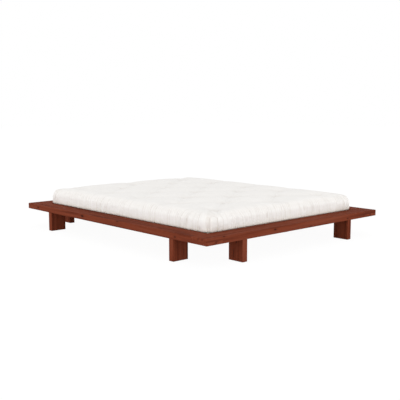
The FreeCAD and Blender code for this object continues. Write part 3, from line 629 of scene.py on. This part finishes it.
# %% Puffing up with the cloth solver
PUFF_FRAMES = 16
PUFF_LIMIT = 0.016
TUFT_HOLD, UNDERSIDE = 0.012, 0.012
INWARD_CUT = 0.7
CLOTH = {"quality": 4, "mass": 0.3, "tension_stiffness": 20.0, "compression_stiffness": 20.0,
         "shear_stiffness": 8.0, "bending_stiffness": 0.3, "vertex_group_mass": "held", "shrink_min": -0.03,
         "use_pressure": True, "uniform_pressure_force": 6.0}


def new_mesh_object(name, points, quads):
    """A smooth-shaded mesh object from arrays of points and quads."""
    mesh = bpy.data.meshes.new(name)
    mesh.from_pydata(points.tolist(), [], quads.tolist())
    mesh.polygons.foreach_set("use_smooth", np.ones(len(quads), dtype=bool))
    mesh.update()
    made = bpy.data.objects.new(name, mesh)
    bpy.context.scene.collection.objects.link(made)
    return made


def puff_up(points, quads, held):
    """The places that the cloth solver gives the points when batting pushes and the held ones stay."""
    cover = new_mesh_object("cover_at_work", points, quads)
    cover.vertex_groups.new(name="held").add(np.flatnonzero(held).tolist(), 1.0, "REPLACE")
    settings = cover.modifiers.new("batting", "CLOTH").settings
    for setting, value in CLOTH.items():
        setattr(settings, setting, value)
    settings.effector_weights.gravity = 0.0
    for number in range(1, PUFF_FRAMES + 1):
        bpy.context.scene.frame_set(number)
    puffed = mesh_points(cover.evaluated_get(bpy.context.evaluated_depsgraph_get()).data)
    bpy.context.scene.frame_set(1)
    bpy.data.objects.remove(cover)
    return puffed


def held_points(points):
    """True for points at a tuft and for the whole underside."""
    return (tuft_distances(points).min(1) < TUFT_HOLD) | (points[:, 2] < futon_low.z + UNDERSIDE)


def evened(values, quads, passes):
    """Each row drawn halfway to the mean of its neighbours along the cloth, once for each pass."""
    start, end = quads.ravel(), np.roll(quads, -1, axis=1).ravel()
    count = np.bincount(start, minlength=len(values)) + np.bincount(end, minlength=len(values))
    for _ in range(passes):
        sums = [np.bincount(start, column[end]) + np.bincount(end, column[start]) for column in values.T]
        values = (values + np.stack(sums, -1) / count[:, None]) / 2
    return values


cloth_points = sewn_points
moves = puff_up(sewn_points, grid_quads, held_points(sewn_points)) - sewn_points
lengths = np.linalg.norm(moves, axis=1)
print("puffing moved points by up to", lengths.max().round(4), "on average", lengths.mean().round(4))
limited = moves * (PUFF_LIMIT * np.tanh(lengths / PUFF_LIMIT) / np.maximum(lengths, TINY))[:, None]
outward = rounded_box(grid_points)[2]
inward = np.minimum((limited[:, :2] * outward).sum(1), 0)
limited[:, :2] -= INWARD_CUT * inward[:, None] * outward
cloth_points = sewn_points + evened(limited, grid_quads, 2)
print("futon reaches", cloth_points.min(0).round(4), cloth_points.max(0).round(4))

# %% [markdown]
# The cover is gathered all round: its sides are drawn into a band of narrow creases with small puffs
# between them, which start at the foot and die out on the top. They are too fine for the solver's
# grid, so the mesh is made finer below and each point is then moved in along its normal. How far it
# moves depends on two values: how far round the futon it is, and how far up its side.

# %% Round the futon and up its side
FAN = 0.15
fan_straight = half_size[:2] - FAN
fan_turn = 2 * np.pi * FAN


def round_and_up(points):
    """The distance round the futon, and the distance up its side and on over its top.

    Round it counts from the foot end of the right side, against the clock, along an inner rectangle
    plus the angle turned at its corners. Up it is the height plus the distance in from the edge.
    """
    a, b = fan_straight
    inner = np.clip(points[:, :2], -fan_straight, fan_straight)
    out = points[:, :2] - inner
    angle = (np.arctan2(out[:, 1], out[:, 0]) + 1e-6) % (2 * np.pi)
    quarter = np.floor(angle / (np.pi / 2)).astype(int) % 4
    run = np.choose(quarter, [inner[:, 1] + b, 2 * b + a - inner[:, 0],
                              2 * a + 3 * b - inner[:, 1], 3 * a + 4 * b + inner[:, 0]])
    reach = np.linalg.norm(out, axis=1)
    corner = np.abs(np.sin(2 * angle))
    edge = FAN + 0.24 * TOP_CORNER * corner - reach
    on_band = reach > 1e-6
    return run + FAN * angle, points[:, 2] - futon_low.z + np.clip(edge, 0, None), on_band


round_length = 4 * fan_straight.sum() + fan_turn
print("once round the futon:", round(round_length, 3), "m")

# %% [markdown]
# Three kinds of crease lie over each other: fine gathers at uneven steps, wide ones under them, and
# the few deep ones that can be told apart in the photograph, each at its own place.

# %% The gathers
FOOT_SIDE_START = 3 * fan_straight[0] + 4 * fan_straight[1] + 0.75 * fan_turn
LEFT_SIDE_START = 2 * fan_straight[0] + 3 * fan_straight[1] + 0.5 * fan_turn
# The deep creases that the photograph shows: place along the side, lowest and highest end, depth
DEEP_ON_FOOT = ((-0.497, 0.03, 0.075, 0.003), (-0.425, 0.0, 0.10, 0.003), (-0.213, 0.03, 0.125, 0.006),
                (-0.154, 0.0, 0.075, 0.005), (-0.015, 0.01, 0.17, 0.006), (0.045, 0.02, 0.10, 0.003),
                (0.205, 0.045, 0.125, 0.008), (0.310, 0.02, 0.15, 0.007), (0.699, 0.03, 0.13, 0.006))
DEEP_ON_LEFT = ((-0.73, 0.0, 0.06, 0.005), (-0.792, 0.02, 0.125, 0.008), (-0.859, 0.0, 0.06, 0.005),
                (-0.924, 0.0, 0.05, 0.006), (-0.45, 0.0, 0.12, 0.004), (0.30, 0.0, 0.12, 0.004),
                (0.93, 0.02, 0.11, 0.005))
DEEP_CREASES = ([(FOOT_SIDE_START + along, *rest) for along, *rest in DEEP_ON_FOOT]
                + [(LEFT_SIDE_START - along, *rest) for along, *rest in DEEP_ON_LEFT])
CREASE_WIDTH = 0.005


def crease_rows(seed, step, height, depth):
    """Place, height of its end and depth of each crease, at uneven steps once round the futon."""
    rng = np.random.default_rng(seed)
    widths = rng.uniform(*step, int(2 * round_length / sum(step)))
    places = np.cumsum(widths) * round_length / widths.sum()
    rows = np.column_stack([places, rng.uniform(*height, len(places)), rng.uniform(*depth, len(places))])
    return np.concatenate([rows[-1:] - [round_length, 0.0, 0.0], rows])


def lobes(along, up, rows):
    """How deep the cloth lies between creases: it rises from each as a half sine to the next.

    Its depth and the height of its end go evenly from one crease to the next.
    """
    after = np.clip(np.searchsorted(rows[:, 0], along), 1, len(rows) - 1)
    this, following = rows[after - 1].T, rows[after].T
    share = (along - this[0]) / (following[0] - this[0])
    end, deep = this[1:] + share * (following[1:] - this[1:])
    fade = np.clip((end - up) / (0.45 * end), 0, 1)
    return deep * fade * (1 - np.sin(np.pi * share) ** 0.8)


def deep_creases(along, up):
    """Sharp valleys that fade at both ends."""
    depth = np.zeros(len(along))
    for place, low, high, deep in DEEP_CREASES:
        fade = ramped(up, low, 0.03) * np.clip((high - up) / (0.5 * (high - low)), 0, 1)
        depth += deep * fade * np.exp(-np.abs(along - place) / CREASE_WIDTH)
    return depth


FINE_GATHERS = crease_rows(11, (0.010, 0.026), (0.19, 0.29), (0.0012, 0.0054))
WIDE_GATHERS = crease_rows(12, (0.028, 0.075), (0.08, 0.22), (0.0008, 0.0024))


def gather_depth(along, up):
    """Fine gathers on wide puffs, leaning a little one way and the other as they go round."""
    lean = 0.10 * np.sin(along * 7.0) + 0.08 * np.sin(along * 19.0 + 1.0)
    leaning = (along + lean * np.clip(up - 0.02, 0, None)) % round_length
    return lobes(leaning, up, FINE_GATHERS), lobes(leaning, up, WIDE_GATHERS)


print("gathers:", len(FINE_GATHERS), "fine on", len(WIDE_GATHERS), "wide")

# %% [markdown]
# On the top, a soft valley joins each tuft with its neighbours, so that hills stand between them. In
# the valleys the cloth is drawn into creases, and short creases run out from each tuft like spokes.
# In the photograph the creases that run one way across the bed show, and those that run the other
# way hardly do.

# %% The hills between the tufts
HILL_REACH = 0.15
VALLEY_DEPTH, VALLEY_START = 0.013, 0.08
SEAM_DEPTH, SEAM_LENGTH, SEAM_REST = 0.0055, 0.11, 0.15
# Share and width of the creases that run towards the right foot corner, and of the fainter others
BROAD_SEAM, FAINT_SEAM = (1.0, 0.015), (0.3, 0.0075)


def distance_to_seam(plan, start, end):
    """Distance in plan from each point to the straight piece between two tufts, and its nearest place."""
    way = end - start
    share = np.clip((plan - start) @ way / (way @ way), 0, 1)
    return np.linalg.norm(plan - start - share[:, None] * way, axis=1), share * np.linalg.norm(way)


def hill_depth(points):
    """Soft valleys that join each tuft with its neighbours in the next columns, and creases in them.

    The cloth rises from a valley as a quarter sine of the distance to it. The crease is deep at both
    tufts and nearly gone halfway.
    """
    gap = np.full(len(points), HILL_REACH)
    crease = np.zeros(len(points))
    for tuft in tufts:
        step = tufts - tuft
        beside = (np.abs(step[:, 0] - column_step) < 1e-4) & (np.abs(step[:, 1]) < 0.6 * row_step)
        for other in tufts[beside]:
            distance, place = distance_to_seam(points[:, :2], tuft, other)
            gap = np.minimum(gap, distance)
            from_tuft = np.minimum(place, np.linalg.norm(other - tuft) - place)
            share, width = FAINT_SEAM if other[1] > tuft[1] else BROAD_SEAM
            fade = share * (SEAM_REST + (1 - SEAM_REST) * np.exp(-(from_tuft / SEAM_LENGTH) ** 2))
            crease = np.maximum(crease, fade * np.exp(-distance / width))
    valley = 1 - np.sin(np.pi / 2 * gap / HILL_REACH) ** 0.9
    valley *= 1 - np.exp(-(tuft_distances(points).min(1) / VALLEY_START) ** 2)
    on_top = ramped(points[:, 2] - futon_low.z, 0.07, 0.02)
    return on_top * VALLEY_DEPTH * valley, on_top * SEAM_DEPTH * crease


print("deepest valley and crease:", [depth.max().round(4) for depth in hill_depth(cloth_points)])

# %% The pull lines at the tufts
PULL_LINES, PULL_JITTER = 7, 0.3
PULL_WIDTH, PULL_START = 0.007, 0.012
PULL_LENGTHS, PULL_DEPTHS = (0.06, 0.16), (0.002, 0.006)


def pull_depth(points):
    """Short creases that run out from each tuft like spokes, deep at the tuft and gone at their ends."""
    rng = np.random.default_rng(5)
    depth = np.zeros(len(points))
    on_top = points[:, 2] > (futon_low.z + futon_high.z) / 2
    for tuft in tufts:
        near = np.flatnonzero(on_top & (np.linalg.norm(points[:, :2] - tuft, axis=1) < PULL_LENGTHS[1]))
        offset = points[near, :2] - tuft
        turns = np.arange(PULL_LINES) + rng.uniform(-PULL_JITTER, PULL_JITTER, PULL_LINES)
        angles = turns * 2 * np.pi / PULL_LINES
        lengths, depths = rng.uniform(*PULL_LENGTHS, PULL_LINES), rng.uniform(*PULL_DEPTHS, PULL_LINES)
        for angle, length, deep in zip(angles, lengths, depths):
            ahead = offset @ (np.cos(angle), np.sin(angle))
            beside = np.abs(offset @ (-np.sin(angle), np.cos(angle)))
            fade = np.clip(1 - ahead / length, 0, 1) * np.clip(ahead / PULL_START, 0, 1)
            depth[near] = np.maximum(depth[near], deep * fade * np.exp(-beside / PULL_WIDTH))
    return depth


print("deepest pull line:", pull_depth(cloth_points).max().round(4))

# %% [markdown]
# At each corner the cover is folded into one flat, upright pleat, a hand's width high. Its edge is a
# crease that goes up one side, over in an arch and down the other, and a short crease runs up its
# middle. A wider puff of the same form lies beside it. The depth at a point depends on the distance
# to those paths.

# %% The corner pleats
PLEAT_HALF = 0.012
PLEAT_TOP = 0.112
PLEAT_SHIFT = -0.001
PLEAT_WIDTH, PLEAT_EDGE = 0.004, 0.006
PUFF_REACH, PUFF_TOP = 0.060, 0.125
PUFF_HALF = (PUFF_REACH - PLEAT_HALF) / 2
SHORT_TOP, SHORT_FADE = 0.085, 0.04
EDGE_DEPTH, FLOOR_DEPTH, SHORT_DEPTH, PUFF_DEPTH = 0.0040, 0.0030, 0.0050, 0.0035


def arched_crease(offset, up, half, top):
    """How near a point is to the edge of an arch, 1 on it, and how far it is inside."""
    above = np.clip(up - (top - half), 0, None)
    gap = np.hypot(offset, above) - half
    return np.exp(-np.abs(gap) / PLEAT_WIDTH), np.clip(-gap / PLEAT_EDGE, 0, 1)


def corner_offsets(along):
    """For each of the four corners, how far round the futon each point is from the pleat's middle."""
    middle = 0.0
    for corner in range(4):
        middle += 2 * fan_straight[1 - corner % 2] + FAN * np.pi / (4 if corner == 0 else 2)
        yield along - middle - PLEAT_SHIFT


def pleat_depth(along, up):
    """The arch round each corner's middle line, its sunk floor, its short crease, and a puff beside it."""
    depth = np.zeros(len(along))
    for offset in corner_offsets(along):
        edge, inside = arched_crease(offset, up, PLEAT_HALF, PLEAT_TOP)
        short = np.exp(-np.abs(offset) / PLEAT_WIDTH) * np.clip((SHORT_TOP - up) / SHORT_FADE, 0, 1)
        puff, _ = arched_crease(offset - PLEAT_HALF - PUFF_HALF, up, PUFF_HALF, PUFF_TOP)
        depth += EDGE_DEPTH * edge + FLOOR_DEPTH * inside + SHORT_DEPTH * short + PUFF_DEPTH * puff
    return depth


def smooth_share(along):
    """1 in the pleats and the puffs beside them, which have no fine gathers, and 0 elsewhere."""
    return sum(ramped(offset, -PLEAT_HALF, PLEAT_EDGE) * np.clip((PUFF_REACH - offset) / PLEAT_EDGE, 0, 1)
               for offset in corner_offsets(along))


print("pleats:", 2 * PLEAT_HALF, "m wide and", PLEAT_TOP, "m high")

# %% [markdown]
# The puffed grid is divided once, and on the gathered band its edges are halved once more. The points
# then move in by all the creases together. The weave follows the flat map of the cloth.

# %% The futon's mesh
def divided(shape, levels):
    """Divide an object's mesh with Subdivision Surface and keep the result as its mesh."""
    divider = shape.modifiers.new("divide", "SUBSURF")
    divider.levels = divider.render_levels = levels
    finer = bpy.data.meshes.new_from_object(shape.evaluated_get(bpy.context.evaluated_depsgraph_get()))
    shape.modifiers.clear()
    shape.data = finer


BAND_TOP = 0.26


def cut_across_band(mesh):
    """Halve the edges that run round the futon on its gathered band."""
    along, up, on_band = round_and_up(mesh_points(mesh))
    work = bmesh.new()
    work.from_mesh(mesh)
    ends = np.array([[vertex.index for vertex in edge.verts] for edge in work.edges])
    step_along = np.abs(along[ends[:, 0]] - along[ends[:, 1]])
    step_up = np.abs(up[ends[:, 0]] - up[ends[:, 1]])
    wanted = on_band[ends].all(1) & (up[ends] < BAND_TOP).all(1) & (step_along > 0.6 * step_up)
    edges = [edge for edge, take in zip(work.edges, wanted) if take]
    bmesh.ops.subdivide_edges(work, edges=edges, cuts=1, use_grid_fill=True)
    work.to_mesh(mesh)
    work.free()


RIM_START, RIM_REACH = 0.002, 0.006
SMOOTHED = 0.8
futon = new_mesh_object("futon_cover", cloth_points, grid_quads)
# The cloth's own flat coordinates, in metres, are its UV map
futon.data.uv_layers.new(name="cloth").data.foreach_set("uv", grid_flats.reshape(-1))
divided(futon, 1)
cut_across_band(futon.data)
points = mesh_points(futon.data)
normals = np.empty(points.size)
futon.data.vertex_normals.foreach_get("vector", normals)
along, up, on_band = round_and_up(points)
smooth = smooth_share(along)
fine, wide = (np.where(on_band, depth * (1 - SMOOTHED * smooth), 0.0) for depth in gather_depth(along, up))
creased, pleated = (np.where(on_band, made(along, up), 0.0) for made in (deep_creases, pleat_depth))
valleys, seams = hill_depth(points)
seams = np.maximum(pull_depth(points), seams)
above_rim = ramped(points[:, 2] - futon_low.z, RIM_START, RIM_REACH)
depth = (fine + wide + creased + pleated + seams + valleys) * above_rim
points -= normals.reshape(-1, 3) * depth[:, None]
futon.data.vertices.foreach_set("co", points.ravel())
futon.data.polygons.foreach_set("use_smooth", np.ones(len(futon.data.polygons), dtype=bool))
futon.data.update()
print("futon cover:", len(futon.data.polygons), "quads, from", points.min(0).round(4),
      "to", points.max(0).round(4))

# %% [markdown]
# Shade is painted into the cover's colour here, over the shading that its shape already gives. Two
# shares at each point tell the material how far its colour goes over into painted shade: a grey-brown
# one in the gathers, creases, pleats and seams, on the puffs beside the pleats and round the tufts,
# and a yellower one at the foot. The top and the roll of the edge get a little painted shade as well,
# so that the side below them, where less light reaches, reads lighter.

# %% The painted shade of the cover
# Shares of painted shade: in the gathers, the deep creases, the pleats, the puffs beside them and the seams,
# at the foot, on the top and the roll, and round the tufts
GATHER_SHADE_SHARE, CREASE_SHADE_SHARE, PLEAT_SHADE_SHARE, PUFF_SHADE_SHARE = 0.42, 0.32, 0.45, 0.10
SEAM_SHADE_SHARE, FOOT_SHADE_SHARE, TOP_SHADE_SHARE, ROLL_SHADE_SHARE = 0.75, 0.30, 0.170, 0.06
TUFT_SHADE_SHARE, TUFT_SHADE_REACH = 0.12, 0.050
TOP_START = 0.06


def deep_share(depth, full):
    """The depth of a crease as a share of the depth at which its painted shade is full."""
    return np.clip(depth / full, 0, 1)


on_top = points[:, 2] > futon_low.z + TOP_START
upper = ramped(up, 0.02, 0.08)
# Painted shade in the creases of the gathers
painted_gather_shade = GATHER_SHADE_SHARE * deep_share(fine, 0.0050) ** 1.5
# Painted shade on the roll of the edge, which the lamps light most
painted_roll_shade = ROLL_SHADE_SHARE * np.exp(-((up - 0.145) / 0.045) ** 2)
# Painted shade round each tuft, whose pit lies in shade
painted_tuft_shade = TUFT_SHADE_SHARE * np.exp(-(tuft_distances(points).min(1) / TUFT_SHADE_REACH) ** 2)
# All grey-brown painted shade: creases, pleats, puffs and seams, the top and the roll, and the tufts
painted_shade_share = (upper * painted_gather_shade + CREASE_SHADE_SHARE * deep_share(creased, 0.008)
             + PLEAT_SHADE_SHARE * deep_share(pleated, 0.008) + PUFF_SHADE_SHARE * smooth * on_band
             + SEAM_SHADE_SHARE * deep_share(seams, 0.010) ** 1.3
             + np.where(on_band, TOP_SHADE_SHARE * ramped(up, 0.05, 0.08) + painted_roll_shade, TOP_SHADE_SHARE * on_top)
             + np.where(on_top, painted_tuft_shade, 0.0))
# The yellower painted shade at the foot, and that of the gathers low on the side
painted_foot_shade_share = FOOT_SHADE_SHARE * np.clip(1 - (up - 0.008) / 0.060, 0, 1) ** 1.8 + (1 - upper) * painted_gather_shade
# Both shares of painted shade go to the cover as the attributes fold and foot
for name, values in (("fold", painted_shade_share), ("foot", painted_foot_shade_share)):
    tone = futon.data.attributes.new(name, "FLOAT", "POINT")
    tone.data.foreach_set("value", np.clip(values, 0, 1).astype(np.float32))
    print(name, "tone on average", values.mean().round(3), "at most", values.max().round(3))
futon.data.materials.append(COVER)
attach(futon, "futon")
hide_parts("futon")

# %% [markdown]
# The floor is one wide plane. The camera sees it nearly white, with the bed's soft shadow, while the
# light that it throws back at the bed is that of a pale matt floor. Its shader tells the two apart
# by the kind of ray.

# %% The floor
FLOOR_HALF = 30.0
FLOOR_SHADOW, FLOOR_GLOW, FLOOR_GREY = 0.07, 0.95, 0.90
floor_corners = FLOOR_HALF * np.array([(-1, -1, 0), (1, -1, 0), (1, 1, 0), (-1, 1, 0)])
floor = new_mesh_object("floor", floor_corners, np.array([(0, 1, 2, 3)]))
floor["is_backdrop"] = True


def seen_directly(tree):
    """1 for rays of the camera, of reflections and of glass, 0 for light that bounces about."""
    path = add_node(tree, "ShaderNodeLightPath")
    first = math_node(tree, "MAXIMUM", path.outputs["Is Camera Ray"], path.outputs["Is Glossy Ray"])
    return math_node(tree, "MAXIMUM", first, path.outputs["Is Transmission Ray"])


def floor_material():
    """White with a faint shadow where it is seen, pale and matt where it lights the bed."""
    material, tree, mixer = new_material("pale_floor", "ShaderNodeMixShader")
    shadow = add_node(tree, "ShaderNodeBsdfDiffuse", {"Color": (*[FLOOR_SHADOW] * 3, 1.0)})
    light = add_node(tree, "ShaderNodeEmission", {"Color": (1.0, 1.0, 1.0, 1.0), "Strength": FLOOR_GLOW})
    both = add_node(tree, "ShaderNodeAddShader", {0: shadow.outputs[0], 1: light.outputs[0]})
    matt = add_node(tree, "ShaderNodeBsdfDiffuse", {"Color": (*[FLOOR_GREY] * 3, 1.0)})
    for place, socket in enumerate((seen_directly(tree), matt.outputs[0], both.outputs[0])):
        tree.links.new(socket, mixer.inputs[place])
    return material


floor.data.materials.append(floor_material())
print("floor:", 2 * FLOOR_HALF, "m wide")

# %% [markdown]
# The world is plain white to the camera and to reflections, and a softer white as a light. Two wide
# lamps, to the left of the bed and past its foot, light the two sides that the camera sees.

# %% World and lamps
world = bpy.data.worlds.new("studio")
bpy.context.scene.world = world
world.use_nodes = True
world_tree = world.node_tree
world_tree.nodes.clear()
AMBIENT = 0.895
rest = math_node(world_tree, "MULTIPLY", seen_directly(world_tree), 1 - AMBIENT)
strength = math_node(world_tree, "ADD", AMBIENT, rest)
sky = add_node(world_tree, "ShaderNodeBackground", {"Color": (1.0, 1.0, 1.0, 1.0), "Strength": strength})
world_output = world_tree.nodes.new("ShaderNodeOutputWorld")
world_tree.links.new(sky.outputs[0], world_output.inputs["Surface"])

LAMP_DISTANCE, LAMP_HEIGHT, LAMP_WIDTH, LAMP_POWER = 8.0, 1.7, 3.5, 125.0
LAMP_SIDES = {"left_softbox": (-1, 0), "foot_softbox": (0, -1)}
LAMP_AIM = Vector((0.0, 0.0, 0.2))
for name, (x_side, y_side) in LAMP_SIDES.items():
    lamp = bpy.data.objects.new(name, bpy.data.lights.new(name, "AREA"))
    lamp.data.size, lamp.data.energy = LAMP_WIDTH, LAMP_POWER
    lamp.location = (x_side * LAMP_DISTANCE, y_side * LAMP_DISTANCE, LAMP_HEIGHT)
    lamp.rotation_mode = "QUATERNION"
    lamp.rotation_quaternion = (LAMP_AIM - lamp.location).to_track_quat("-Z", "Y")
    bpy.context.scene.collection.objects.link(lamp)
    print("lamp:", name, lamp.data.energy, "W")

# %% [markdown]
# The puffed cover rises a little past its CAD solid, so the box of the finished bed is printed.

# %% The size of the finished bed
low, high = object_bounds()
print("visual box", [round(v, 4) for v in (*low, *high)])
